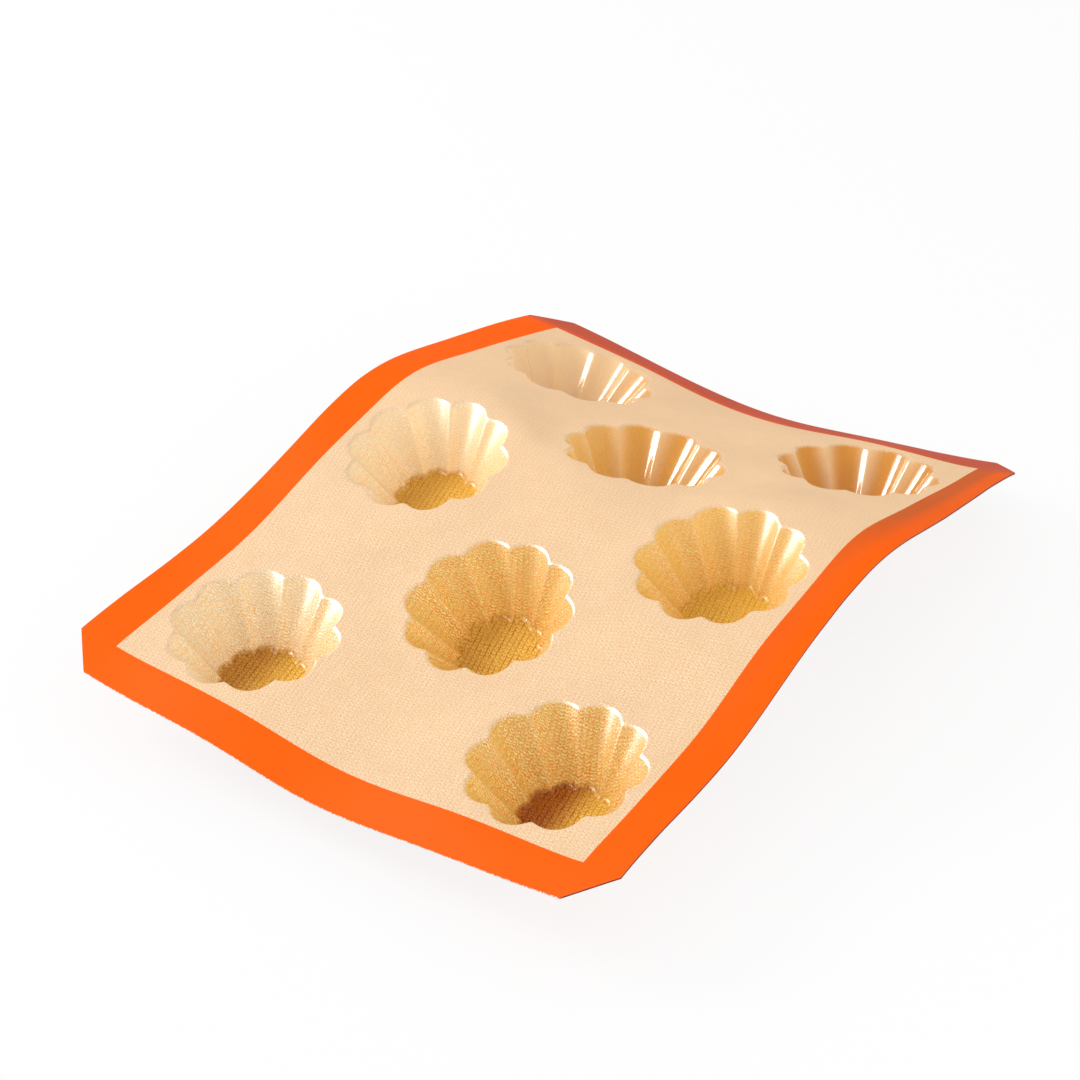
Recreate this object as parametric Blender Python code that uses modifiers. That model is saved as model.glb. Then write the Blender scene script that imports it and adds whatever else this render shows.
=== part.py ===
"""Mini brioche mould: a bent sheet of coated glass cloth with eight fluted cups and a border.

Frame: metres, +Z up, +X from the front end of the sheet to its far end, +Y towards its left
edge. The mould stands on the floors of its four corner cups, and the origin is on the table
under the middle of its bounding box.

A place on the flat sheet is given as (s, t): s runs along the length from the front end, and
t across the width from the right edge. The sheet is bent by four edge lines, each given by its
slopes at evenly spaced stations, and by a crown that lifts the middle. Each cup is stiff, so the
sheet lies flat in a collar round it. Between the collars and the edges it takes the shape of a
thin plate, the smoothest surface that passes through them.
"""
from math import atan2, ceil, cos, hypot, pi, sin, sqrt, tan

import bmesh
import bpy
import numpy as np
from mathutils import Matrix, Vector
from mathutils.geometry import delaunay_2d_cdt

# Flat sheet
SHEET_LENGTH = 0.400
SHEET_WIDTH = 0.300
SHEET_THICKNESS = 0.0008
BORDER_WIDTH = 0.020
CORNER_CUT = 0.018
SEAM_GAP = 0.0003
LAND_BESIDE_BORDER = 0.0023

# Fluted cups: radii where the wall would meet the sheet and the floor without fillets
FLUTES = 10
RIM_NOTCH_RADIUS = 0.0365
RIM_LOBE_RADIUS = 0.0410
FLOOR_NOTCH_RADIUS = 0.0185
FLOOR_LOBE_RADIUS = 0.0210
CUP_DEPTH = 0.033
LIP_RADIUS = 0.003
FOOT_RADIUS = 0.003

# Bend of the sheet: slopes in degrees, uphill positive, from the front end or the right edge
RIGHT_EDGE_SLOPES = (12.0, -0.5, 16.0, 7.5, -14.5, -11.5, -21.5)
LEFT_EDGE_SLOPES = (7.5, 0.5, 11.0, 12.5, -13.0, -15.0, -21.0)
FRONT_EDGE_SLOPES = (-11.5, -6.0, -6.5, 9.0, 3.0, 13.0)
FAR_EDGE_SLOPES = (-13.5, -7.5, -7.5, 5.0, 9.5, 4.5)
CROWN_HEIGHT = 0.0115
COLLAR_MARGIN = 0.0013

# Points that hold the thin plate: on each edge, and on rings round each cup
EDGE_STATIONS = 16
COLLAR_STATIONS = 36
COLLAR_RINGS = 3
SMALLEST_SQUARE = 1e-18

# Fineness of the mesh
STEPS_PER_FLUTE = 4
LIP_STEPS = 3
FOOT_STEPS = 2
EDGE_SPACING = 0.0115
GRID_SPACING = 0.0105
GRID_CLEARANCE = 0.005
WAVE_STEPS = 200
RING_SAMPLES = 24
MERGE_DISTANCE = 1e-6

# Colours, linear
WEB_COLOUR = (0.87, 0.66, 0.44, 1.0)
CUP_COLOUR = (0.72, 0.36, 0.10, 1.0)
BORDER_COLOUR = (1.0, 0.13, 0.01, 1.0)
SILICONE_ROUGHNESS = 0.38


def scallop(angle, notch, lobe):
    """Radius of a fluted outline at an angle: each flute is one round arc from notch to notch."""
    half = pi / FLUTES
    centre = (lobe ** 2 - notch ** 2) / (2 * (lobe - notch * cos(half)))
    arc = lobe - centre
    local = (angle + half) % (2 * half) - half
    return centre * cos(local) + sqrt(arc ** 2 - (centre * sin(local)) ** 2)


def wall_slant(rim, floor):
    """Angle of the wall below the sheet's plane, from its rim and floor radii."""
    return atan2(CUP_DEPTH, rim - floor)


def seam_radius(angle):
    """Radius of a cup's outer edge, where its lip has turned level with the sheet."""
    rim = scallop(angle, RIM_NOTCH_RADIUS, RIM_LOBE_RADIUS)
    floor = scallop(angle, FLOOR_NOTCH_RADIUS, FLOOR_LOBE_RADIUS)
    return rim + LIP_RADIUS * tan(wall_slant(rim, floor) / 2)


def wall_profile(rim, floor):
    """(radius, depth) points down one line of the wall, from the lip to the floor's edge."""
    slant = wall_slant(rim, floor)
    lip_centre = rim + LIP_RADIUS * tan(slant / 2)
    foot_centre = floor - FOOT_RADIUS * tan(slant / 2)
    points = []
    for step in range(LIP_STEPS + 1):
        turn = slant * step / LIP_STEPS
        points.append((lip_centre - LIP_RADIUS * sin(turn), LIP_RADIUS * (1 - cos(turn))))
    for step in range(FOOT_STEPS + 1):
        turn = slant * (1 - step / FOOT_STEPS)
        points.append((foot_centre + FOOT_RADIUS * sin(turn),
                       CUP_DEPTH - FOOT_RADIUS * (1 - cos(turn))))
    return points


def flute_angles():
    """Angles of the lines that the cup's wall and its seam are drawn on."""
    count = FLUTES * STEPS_PER_FLUTE
    return [2 * pi * i / count for i in range(count)]


LOBE_SEAM_RADIUS = seam_radius(0.0)
EDGE_TO_CUP_CENTRE = BORDER_WIDTH + LAND_BESIDE_BORDER + LOBE_SEAM_RADIUS
COLLAR_RADIUS = LOBE_SEAM_RADIUS + COLLAR_MARGIN


def cup_places():
    """Node name and flat (s, t) centre of each cup: outer rows of three, a middle row of two."""
    ends = (EDGE_TO_CUP_CENTRE, SHEET_LENGTH / 2, SHEET_LENGTH - EDGE_TO_CUP_CENTRE)
    places = {}
    for side, t in (("right", EDGE_TO_CUP_CENTRE), ("left", SHEET_WIDTH - EDGE_TO_CUP_CENTRE)):
        for where, s in zip(("front", "middle", "far"), ends):
            places[f"cup_{where}_{side}"] = (s, t)
    for where, s in (("front", (ends[0] + ends[1]) / 2), ("far", (ends[1] + ends[2]) / 2)):
        places[f"cup_{where}_center"] = (s, SHEET_WIDTH / 2)
    return places


def smooth_through(stations, share):
    """A smooth curve through evenly spaced values, read at shares from 0 to 1 of its length."""
    values = np.asarray(stations, float)
    tangents = np.gradient(values)
    place = np.clip(share, 0, 1) * (len(values) - 1)
    low = np.minimum(place.astype(int), len(values) - 2)
    f = place - low
    return ((2 * f ** 3 - 3 * f ** 2 + 1) * values[low] + (f ** 3 - 2 * f ** 2 + f) * tangents[low]
            + (3 * f ** 2 - 2 * f ** 3) * values[low + 1] + (f ** 3 - f ** 2) * tangents[low + 1])


class EdgeWave:
    """One bent edge of the sheet: its run and its rise at each distance along it."""

    def __init__(self, slopes, length):
        share = np.linspace(0, 1, WAVE_STEPS + 1)
        slope = np.radians(smooth_through(slopes, share))
        self.along = share * length
        self.run = self.running_sum(np.cos(slope), length / WAVE_STEPS)
        self.rise = self.running_sum(np.sin(slope), length / WAVE_STEPS)

    @staticmethod
    def running_sum(values, step):
        """Trapezoid sum of the values up to each of them."""
        return np.concatenate([[0.0], np.cumsum((values[1:] + values[:-1]) / 2 * step)])

    def run_at(self, distance):
        """Level distance covered."""
        return np.interp(distance, self.along, self.run)

    def rise_at(self, distance):
        """Height gained."""
        return np.interp(distance, self.along, self.rise)


class ThinPlate:
    """The smoothest surface over the flat sheet that passes through given points."""

    def __init__(self, places, points):
        self.places = np.asarray(places)
        count = len(self.places)
        level = np.hstack([np.ones((count, 1)), self.places])
        rows = np.vstack([np.hstack([self.kernel(self.places), level]),
                          np.hstack([level.T, np.zeros((3, 3))])])
        self.weights = np.linalg.solve(rows, np.vstack([points, np.zeros((3, 3))]))

    def kernel(self, places):
        """Bending of the plate at each place from a unit push at each of its own points."""
        squares = ((places[:, None] - self.places[None]) ** 2).sum(-1)
        return squares * np.log(np.maximum(squares, SMALLEST_SQUARE))

    def at(self, places):
        """Surface points at an array of places on the flat sheet."""
        level = np.hstack([np.ones((len(places), 1)), places])
        return np.hstack([self.kernel(places), level]) @ self.weights


class BentSheet:
    """The sheet's top surface: flat in a collar at each cup, and smooth between bent edges."""

    def __init__(self, cups):
        self.right = EdgeWave(RIGHT_EDGE_SLOPES, SHEET_LENGTH)
        self.left = EdgeWave(LEFT_EDGE_SLOPES, SHEET_LENGTH)
        self.front = EdgeWave(FRONT_EDGE_SLOPES, SHEET_WIDTH)
        self.far = EdgeWave(FAR_EDGE_SLOPES, SHEET_WIDTH)
        self.cups = cups
        self.collars = {name: self.collar(s, t) for name, (s, t) in cups.items()}
        self.plate = self.smooth_plate()

    def patch(self, s, t):
        """Point of the patch between the four edges, which the collars are laid on."""
        p = s / SHEET_LENGTH
        q = t / SHEET_WIDTH
        x = self.right.run_at(s) * (1 - q) + self.left.run_at(s) * q
        y = self.front.run_at(t) * (1 - p) + self.far.run_at(t) * p
        far_right = self.right.rise[-1]
        front_left = self.front.rise[-1]
        far_left = front_left + self.left.rise[-1]
        mend = far_left - far_right - self.far.rise[-1]
        along = self.right.rise_at(s) * (1 - q) + (front_left + self.left.rise_at(s)) * q
        across = self.front.rise_at(t) * (1 - p) + (far_right + self.far.rise_at(t) + mend * q) * p
        corners = far_right * p * (1 - q) + front_left * (1 - p) * q + far_left * p * q
        crown = CROWN_HEIGHT * np.sin(pi * p) * np.sin(pi * q)
        return np.stack([x, y, along + across - corners + crown], -1)

    def collar(self, s, t):
        """Centre and axes of the flat collar that lies closest to the bent sheet round a cup."""
        angle = np.linspace(0, 2 * pi, RING_SAMPLES, endpoint=False)
        rim = self.patch(s + RIM_NOTCH_RADIUS * np.cos(angle), t + RIM_NOTCH_RADIUS * np.sin(angle))
        centre = Vector(rim.mean(0))
        along = Vector((rim * np.cos(angle)[:, None]).sum(0)).normalized()
        across = Vector((rim * np.sin(angle)[:, None]).sum(0)).normalized()
        normal = along.cross(across).normalized()
        along = (along + across.cross(normal)).normalized()
        return centre, along, normal.cross(along), normal

    def on_collar(self, name, places):
        """Points of a cup's flat collar at an array of places."""
        centre, along, across, _ = self.collars[name]
        offset = places - np.array(self.cups[name])
        return np.array(centre) + offset[:, :1] * np.array(along) + offset[:, 1:] * np.array(across)

    def smooth_plate(self):
        """Thin plate through the sheet's four edges and through rings on each collar."""
        along = np.linspace(0, SHEET_LENGTH, EDGE_STATIONS + 1)
        across = np.linspace(0, SHEET_WIDTH, EDGE_STATIONS + 1)[1:-1]
        places = np.array([(s, t) for s in along for t in (0.0, SHEET_WIDTH)]
                          + [(s, t) for s in (0.0, SHEET_LENGTH) for t in across])
        points = self.patch(places[:, 0], places[:, 1])
        for name, centre in self.cups.items():
            rings = np.vstack([ring(centre, radius, COLLAR_STATIONS) for radius
                               in np.linspace(RIM_NOTCH_RADIUS, COLLAR_RADIUS, COLLAR_RINGS)])
            places = np.vstack([places, rings])
            points = np.vstack([points, self.on_collar(name, rings)])
        return ThinPlate(places, points)

    def cup_matrix(self, name):
        """Turn and place of a cup: its axis is square to its collar, and its x axis along s."""
        centre, along, across, normal = self.collars[name]
        turn = Matrix((along, across, normal)).transposed()
        return Matrix.Translation(centre) @ turn.to_4x4()


def steps_between(start, end, spacing):
    """Evenly spaced values from start to end, both included, no further apart than spacing."""
    count = max(1, ceil((end - start) / spacing))
    return [start + (end - start) * i / count for i in range(count + 1)]


def outline(corners):
    """Closed line of points round a flat shape, stepped along each of its sides."""
    points = []
    for (s0, t0), (s1, t1) in zip(corners, corners[1:] + corners[:1]):
        shares = steps_between(0.0, 1.0, EDGE_SPACING / hypot(s1 - s0, t1 - t0))
        points += [(s0 + (s1 - s0) * f, t0 + (t1 - t0) * f) for f in shares[:-1]]
    return points


def rectangle(inset):
    """Corners of the sheet's rectangle, set in from its edges."""
    s1 = SHEET_LENGTH - inset
    t1 = SHEET_WIDTH - inset
    return [(inset, inset), (s1, inset), (s1, t1), (inset, t1)]


def cut_rectangle():
    """Corners of the whole sheet, with each corner cut off."""
    length, width, cut = SHEET_LENGTH, SHEET_WIDTH, CORNER_CUT
    return [(cut, 0.0), (length - cut, 0.0), (length, cut), (length, width - cut),
            (length - cut, width), (cut, width), (0.0, width - cut), (0.0, cut)]


def cup_hole(centre):
    """Fluted outline of the hole that a cup fills, one seam gap wider than the cup."""
    s, t = centre
    radii = [(angle, seam_radius(angle) + SEAM_GAP) for angle in flute_angles()]
    return [(s + r * cos(angle), t + r * sin(angle)) for angle, r in radii]


def ring(centre, radius, count):
    """Evenly spaced points on a circle."""
    return [(centre[0] + radius * cos(2 * pi * i / count),
             centre[1] + radius * sin(2 * pi * i / count)) for i in range(count)]


def web_inner_points(cups):
    """Points inside the web that carry its bend: a ring at each collar's edge, and a grid."""
    inset = BORDER_WIDTH + SEAM_GAP + GRID_CLEARANCE
    points = []
    for s in steps_between(inset, SHEET_LENGTH - inset, GRID_SPACING):
        for t in steps_between(inset, SHEET_WIDTH - inset, GRID_SPACING):
            nearest = min(hypot(s - cs, t - ct) for cs, ct in cups.values())
            if nearest > COLLAR_RADIUS + GRID_CLEARANCE:
                points.append((s, t))
    for centre in cups.values():
        points += [(s, t) for s, t in ring(centre, COLLAR_RADIUS, FLUTES * STEPS_PER_FLUTE)
                   if inset < s < SHEET_LENGTH - inset and inset < t < SHEET_WIDTH - inset]
    return points


def border_inner_points():
    """A line of points along the middle of the border."""
    return outline(rectangle(BORDER_WIDTH / 2))


def flat_mesh(loops, inner_points):
    """Flat triangle mesh inside the first loop, outside the other loops, through the points."""
    coords = []
    outlines = []
    for loop in loops:
        outlines.append(list(range(len(coords), len(coords) + len(loop))))
        coords += loop
    coords += inner_points
    every_triangle = 0
    points, _, triangles, _, _, loops_round = delaunay_2d_cdt(
        [Vector(c) for c in coords], [], outlines, every_triangle, MERGE_DISTANCE)
    mesh = bmesh.new()
    vertices = [mesh.verts.new((s, t, 0.0)) for s, t in points]
    for triangle, owners in zip(triangles, loops_round):
        if owners == [0]:
            mesh.faces.new([vertices[i] for i in triangle])
    return mesh


def bend(mesh, sheet):
    """Carry each point of a flat mesh to the bent sheet."""
    places = np.array([vertex.co[:2] for vertex in mesh.verts])
    for vertex, point in zip(mesh.verts, sheet.plate.at(places)):
        vertex.co = point


def cup_mesh():
    """Open skin of one cup in its own frame: rings down the wall, closed by the floor."""
    mesh = bmesh.new()
    lines = []
    for angle in flute_angles():
        rim = scallop(angle, RIM_NOTCH_RADIUS, RIM_LOBE_RADIUS)
        floor = scallop(angle, FLOOR_NOTCH_RADIUS, FLOOR_LOBE_RADIUS)
        lines.append([mesh.verts.new((r * cos(angle), r * sin(angle), -depth))
                      for r, depth in wall_profile(rim, floor)])
    for line, following in zip(lines, lines[1:] + lines[:1]):
        for upper in range(len(line) - 1):
            mesh.faces.new([line[upper], following[upper], following[upper + 1], line[upper + 1]])
    mesh.faces.new([line[-1] for line in lines])
    return mesh


def finish(name, colour):
    """Silicone material of one piece."""
    material = bpy.data.materials.new(f"{name}_silicone")
    material.use_nodes = True
    shader = material.node_tree.nodes["Principled BSDF"]
    shader.inputs["Base Color"].default_value = colour
    shader.inputs["Roughness"].default_value = SILICONE_ROUGHNESS
    shader.inputs["Metallic"].default_value = 0.0
    material.diffuse_color = colour
    return material


def data_from(name, mesh):
    """Mesh data from a working mesh, shaded smooth."""
    data = bpy.data.meshes.new(name)
    mesh.to_mesh(data)
    mesh.free()
    data.shade_smooth()
    return data


def add_piece(name, data, colour, collection, base):
    """One piece of the mould: a skin that is given the sheet's thickness below its top face."""
    piece = bpy.data.objects.new(name, data)
    collection.objects.link(piece)
    piece.parent = base
    if not data.materials:
        data.materials.append(None)
    piece.material_slots[0].link = 'OBJECT'
    piece.material_slots[0].material = finish(name, colour)
    thickness = piece.modifiers.new("thickness", 'SOLIDIFY')
    thickness.thickness = SHEET_THICKNESS
    thickness.offset = -1.0
    thickness.use_even_offset = True
    thickness.use_quality_normals = True
    return piece


def stand_on_table(pieces, base):
    """Move the mould so that it touches z = 0 and its box is centred on the origin."""
    bpy.context.view_layer.update()
    graph = bpy.context.evaluated_depsgraph_get()
    corners = []
    for piece in pieces:
        evaluated = piece.evaluated_get(graph)
        mesh = evaluated.to_mesh()
        corners += [evaluated.matrix_world @ vertex.co for vertex in mesh.vertices]
        evaluated.to_mesh_clear()
    low = Vector([min(c[axis] for c in corners) for axis in range(3)])
    high = Vector([max(c[axis] for c in corners) for axis in range(3)])
    base.location = (-(low.x + high.x) / 2, -(low.y + high.y) / 2, -low.z)


def build():
    """Clear the scene and build the mould."""
    for old in list(bpy.data.objects):
        bpy.data.objects.remove(old, do_unlink=True)
    collection = bpy.data.collections.new("mini_brioche_mould")
    bpy.context.scene.collection.children.link(collection)
    base = bpy.data.objects.new("mould_base", None)
    collection.objects.link(base)

    cups = cup_places()
    sheet = BentSheet(cups)

    holes = [cup_hole(centre) for centre in cups.values()]
    web = flat_mesh([outline(rectangle(BORDER_WIDTH + SEAM_GAP))] + holes, web_inner_points(cups))
    bend(web, sheet)
    border = flat_mesh([outline(cut_rectangle()), outline(rectangle(BORDER_WIDTH))],
                       border_inner_points())
    bend(border, sheet)
    pieces = [add_piece("coated_web", data_from("coated_web", web), WEB_COLOUR, collection, base),
              add_piece("border_band", data_from("border_band", border), BORDER_COLOUR,
                        collection, base)]

    cup_data = data_from("fluted_cup", cup_mesh())
    for name in cups:
        cup = add_piece(name, cup_data, CUP_COLOUR, collection, base)
        cup.matrix_local = sheet.cup_matrix(name)
        pieces.append(cup)

    stand_on_table(pieces, base)


build()
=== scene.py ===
"""Looks of a mini brioche mould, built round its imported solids.

The mould is one bent sheet of knitted glass cloth in silicone, with eight fluted cups pressed
into it and a coloured border. Every point of it has a place (s, t) on the sheet before it was
bent: s runs along the length from the front end, and t across the width from the right edge.
Places are kept as each piece's UV map, so that the knit runs on from the web into the cups.
Lengths are in metres. Materials count in millimetres.
"""

import logging
from dataclasses import asdict, dataclass, field, replace
from enum import Enum
from math import ceil, hypot, pi, radians

import bmesh
import bpy
import numpy as np
from bpy.types import ID, Material, Mesh, Node, NodeSocket, NodeTree, Object
from mathutils import Euler, Matrix, Vector
from mathutils.geometry import delaunay_2d_cdt


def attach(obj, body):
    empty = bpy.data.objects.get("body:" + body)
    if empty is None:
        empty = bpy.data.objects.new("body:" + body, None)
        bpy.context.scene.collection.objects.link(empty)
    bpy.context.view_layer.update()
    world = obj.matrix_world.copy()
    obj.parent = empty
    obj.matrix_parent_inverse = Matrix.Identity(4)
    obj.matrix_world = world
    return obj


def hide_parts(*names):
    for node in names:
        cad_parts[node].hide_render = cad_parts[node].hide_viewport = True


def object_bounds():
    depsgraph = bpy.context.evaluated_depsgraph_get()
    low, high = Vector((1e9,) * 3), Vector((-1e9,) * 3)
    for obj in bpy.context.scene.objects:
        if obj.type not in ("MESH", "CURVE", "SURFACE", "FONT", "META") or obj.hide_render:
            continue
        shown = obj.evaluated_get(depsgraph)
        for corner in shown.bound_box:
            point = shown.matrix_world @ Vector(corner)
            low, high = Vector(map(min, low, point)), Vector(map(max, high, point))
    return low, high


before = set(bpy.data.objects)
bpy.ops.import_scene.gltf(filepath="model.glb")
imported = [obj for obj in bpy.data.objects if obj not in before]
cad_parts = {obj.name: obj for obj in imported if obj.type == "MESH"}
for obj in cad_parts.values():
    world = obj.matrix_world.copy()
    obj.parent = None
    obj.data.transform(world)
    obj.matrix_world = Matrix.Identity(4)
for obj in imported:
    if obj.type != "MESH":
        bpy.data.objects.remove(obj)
CAD_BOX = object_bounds()
BODY = "root"
PLACE_MAP = "place"
DEPTH_NAME = "depth"
# Attribute of the painted shadow on one side of each cup's floor.
PAINTED_SHADE_NAME = "shade"
# Attribute that marks the flute ridges, which get a painted highlight.
RIDGE_NAME = "ridge"
MILLIMETRES = 1000.0
SAME_PLACE = 1e-6  # metres
SMALLEST_SQUARE = 1e-18  # square metres

log = logging.getLogger("mould")


class Slot(Enum):
    """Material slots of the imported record."""

    WEB = "web_silicone"
    CUP = "cup_silicone"
    BORDER = "border_silicone"


def linear(code: str) -> tuple[float, float, float, float]:
    """Scene colour of a screen colour, by the sRGB curve.

    Args:
        code: Six hexadecimal digits, two each for red, green and blue.

    Returns:
        Linear red, green, blue and a full alpha.
    """
    shares = [int(code[i:i + 2], 16) / 255 for i in (0, 2, 4)]
    red, green, blue = (c / 12.92 if c <= 0.04045 else ((c + 0.055) / 1.055) ** 2.4
                        for c in shares)
    return red, green, blue, 1.0


# Nodes


class Number:
    """A number in a node tree. Arithmetic on it adds Math nodes to the tree."""

    def __init__(self, tree: NodeTree, source: NodeSocket | float) -> None:
        """Keep the tree and the socket or plain number that gives the value."""
        self.tree = tree
        self.source = source

    def put(self, socket: NodeSocket) -> None:
        """Feed the number into a socket."""
        put(self.tree, self.source, socket)

    def apply(self, operation: str, *others: "Number | float") -> "Number":
        """A Math node on this number.

        Args:
            operation: The node's operation.
            others: Its second and third inputs.

        Returns:
            The node's result.
        """
        node = add_node(self.tree, "ShaderNodeMath", dict(enumerate((self, *others))),
                        operation=operation)
        return Number(self.tree, node.outputs[0])

    def __add__(self, other: "Number | float") -> "Number":
        """Sum."""
        return self.apply("ADD", other)

    def __sub__(self, other: "Number | float") -> "Number":
        """Difference."""
        return self.apply("SUBTRACT", other)

    def __mul__(self, other: "Number | float") -> "Number":
        """Product."""
        return self.apply("MULTIPLY", other)

    def __truediv__(self, other: "Number | float") -> "Number":
        """Quotient."""
        return self.apply("DIVIDE", other)

    def __rsub__(self, other: float) -> "Number":
        """Difference from a plain number."""
        return Number(self.tree, other).apply("SUBTRACT", self)

    def __rtruediv__(self, other: float) -> "Number":
        """A plain number divided by this one."""
        return Number(self.tree, other).apply("DIVIDE", self)

    __radd__ = __add__
    __rmul__ = __mul__

    def sin(self) -> "Number":
        """Sine."""
        return self.apply("SINE")

    def cos(self) -> "Number":
        """Cosine."""
        return self.apply("COSINE")

    def tan(self) -> "Number":
        """Tangent."""
        return self.apply("TANGENT")

    def root(self) -> "Number":
        """Square root."""
        return self.apply("SQRT")

    def squared(self) -> "Number":
        """Square."""
        return self * self

    def size(self) -> "Number":
        """Size without the sign."""
        return self.apply("ABSOLUTE")

    def fraction(self) -> "Number":
        """What is left above the next lower whole number."""
        return self.apply("FRACT")

    def lesser(self, other: "Number | float") -> "Number":
        """The lower of two numbers."""
        return self.apply("MINIMUM", other)

    def greater(self, other: "Number | float") -> "Number":
        """The higher of two numbers."""
        return self.apply("MAXIMUM", other)

    def held(self) -> "Number":
        """The number held between 0 and 1."""
        return self.lesser(1.0).greater(0.0)

    def between(self, first: float, second: float) -> "Number":
        """A number as far between two others as this one is between 0 and 1."""
        return self * (second - first) + first

    def rise(self, low: float, high: float) -> "Number":
        """A smooth step.

        Args:
            low: Where the step is still 0.
            high: Where it has reached 1.

        Returns:
            A number from 0 to 1.
        """
        node = add_node(self.tree, "ShaderNodeMapRange",
                        {"Value": self, "From Min": low, "From Max": high},
                        interpolation_type='SMOOTHSTEP')
        return Number(self.tree, node.outputs["Result"])


def put(tree: NodeTree, value: object, socket: NodeSocket) -> None:
    """Link a value to a socket, or set the socket to it.

    Args:
        tree: The tree of both.
        value: A Number, an output socket or a plain value.
        socket: The input socket that takes it.
    """
    if isinstance(value, Number):
        value = value.source
    if isinstance(value, NodeSocket):
        tree.links.new(value, socket)
    else:
        socket.default_value = value


def add_node(tree: NodeTree, kind: str, inputs: dict | None = None, **settings: object
             ) -> Node:
    """A new node.

    Args:
        tree: The tree that gets it.
        kind: Its type.
        inputs: Name or number of an input socket to the value that it takes.
        settings: The node's own choices, which are made before its inputs are set.

    Returns:
        The node.
    """
    node = tree.nodes.new(kind)
    for name, value in settings.items():
        setattr(node, name, value)
    for key, value in (inputs or {}).items():
        put(tree, value, node.inputs[key])
    return node


def split(tree: NodeTree, vector: NodeSocket) -> tuple[Number, Number]:
    """The first two parts of a vector."""
    node = add_node(tree, "ShaderNodeSeparateXYZ", {0: vector})
    return Number(tree, node.outputs[0]), Number(tree, node.outputs[1])


def scaled(tree: NodeTree, vector: NodeSocket, scale: Number | float) -> NodeSocket:
    """A vector times a number."""
    return add_node(tree, "ShaderNodeVectorMath", {0: vector, "Scale": scale},
                    operation='SCALE').outputs[0]


def noise(tree: NodeTree, place: NodeSocket, scale: float, detail: float = 2.0) -> Number:
    """Noise over a place.

    Args:
        tree: The tree that gets the node.
        place: The place.
        scale: Bumps per unit of the place.
        detail: How many finer layers it has.

    Returns:
        A number from 0 to 1.
    """
    node = add_node(tree, "ShaderNodeTexNoise",
                    {"Scale": scale, "Detail": detail, "Vector": place})
    return Number(tree, node.outputs["Fac"])


def carried(tree: NodeTree, name: str) -> Number:
    """A value that the mesh carries under a name."""
    node = add_node(tree, "ShaderNodeAttribute", attribute_name=name)
    return Number(tree, node.outputs["Fac"])


def blend(tree: NodeTree, share: Number, first: object, second: object) -> NodeSocket:
    """A mix of two colours.

    Args:
        tree: The tree that gets the node.
        share: Share of the second colour.
        first: A colour or the socket of one.
        second: A colour or the socket of one.

    Returns:
        The mixed colour.
    """
    factor, a, b = 0, 6, 7
    return add_node(tree, "ShaderNodeMix", {factor: share, a: first, b: second},
                    data_type='RGBA').outputs[2]


def node_group(name: str, kind: str, inputs: dict[str, tuple[str, object]],
               outputs: dict[str, str]) -> tuple[NodeTree, dict, dict]:
    """A new node group with named sockets.

    Args:
        name: The group's name.
        kind: Type of its tree.
        inputs: Name to socket type and first value, which may be None.
        outputs: Name to socket type.

    Returns:
        The tree, its inner input sockets by name, and its inner output sockets by name.
    """
    tree = bpy.data.node_groups.new(name, kind)
    for label, (socket_type, value) in inputs.items():
        socket = tree.interface.new_socket(label, in_out='INPUT', socket_type=socket_type)
        if value is not None:
            socket.default_value = value
    for label, socket_type in outputs.items():
        tree.interface.new_socket(label, in_out='OUTPUT', socket_type=socket_type)
    entry, leave = add_node(tree, "NodeGroupInput"), add_node(tree, "NodeGroupOutput")
    return (tree, {s.name: s for s in entry.outputs if s.name},
            {s.name: s for s in leave.inputs if s.name})


def new_material(name: str) -> tuple[Material, NodeTree, Node]:
    """A new material.

    Args:
        name: Name of the material.

    Returns:
        The material, its node tree and its Principled shader.
    """
    material = bpy.data.materials.new(name)
    material.use_nodes = True
    return material, material.node_tree, material.node_tree.nodes["Principled BSDF"]


# Shape of a cup


@dataclass(frozen=True)
class CupShape:
    """Sizes of a fluted cup.

    The radii are where the wall would meet the sheet and the floor without fillets.
    """

    flutes: int = 10
    rim_notch: float = 0.0365
    rim_lobe: float = 0.0410
    floor_notch: float = 0.0185
    floor_lobe: float = 0.0210
    depth: float = 0.033
    lip_radius: float = 0.003
    foot_radius: float = 0.003
    flange: float = 0.0009
    notch_softness: float = 0.12

    def scallop(self, angle: np.ndarray, notch: float, lobe: float) -> np.ndarray:
        """Radius of a fluted outline, whose notches are softly rounded.

        Args:
            angle: Angles round the cup.
            notch: Radius at a notch.
            lobe: Radius at the top of a lobe.

        Returns:
            The radius at each angle.
        """
        half = pi / self.flutes
        centre = (lobe ** 2 - notch ** 2) / (2 * (lobe - notch * np.cos(half)))
        arc = lobe - centre
        from_notch = 1 - np.abs((angle + half) % (2 * half) - half) / half
        widest = np.sqrt(1 + self.notch_softness ** 2)
        turn = half * ((widest - np.sqrt(from_notch ** 2 + self.notch_softness ** 2))
                       / (widest - self.notch_softness))
        return centre * np.cos(turn) + np.sqrt(arc ** 2 - (centre * np.sin(turn)) ** 2)

    def flange_radius(self, angle: np.ndarray) -> np.ndarray:
        """Radius of the cup piece's outer edge, a little outside the lip.

        Args:
            angle: Angles round the cup.

        Returns:
            The radius at each angle.
        """
        rim = self.scallop(angle, self.rim_notch, self.rim_lobe)
        floor = self.scallop(angle, self.floor_notch, self.floor_lobe)
        slant = np.arctan2(self.depth, rim - floor)
        return rim + self.lip_radius * np.tan(slant / 2) + self.flange


STRETCHES = ("flange", "lip", "wall", "foot", "floor")


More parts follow.
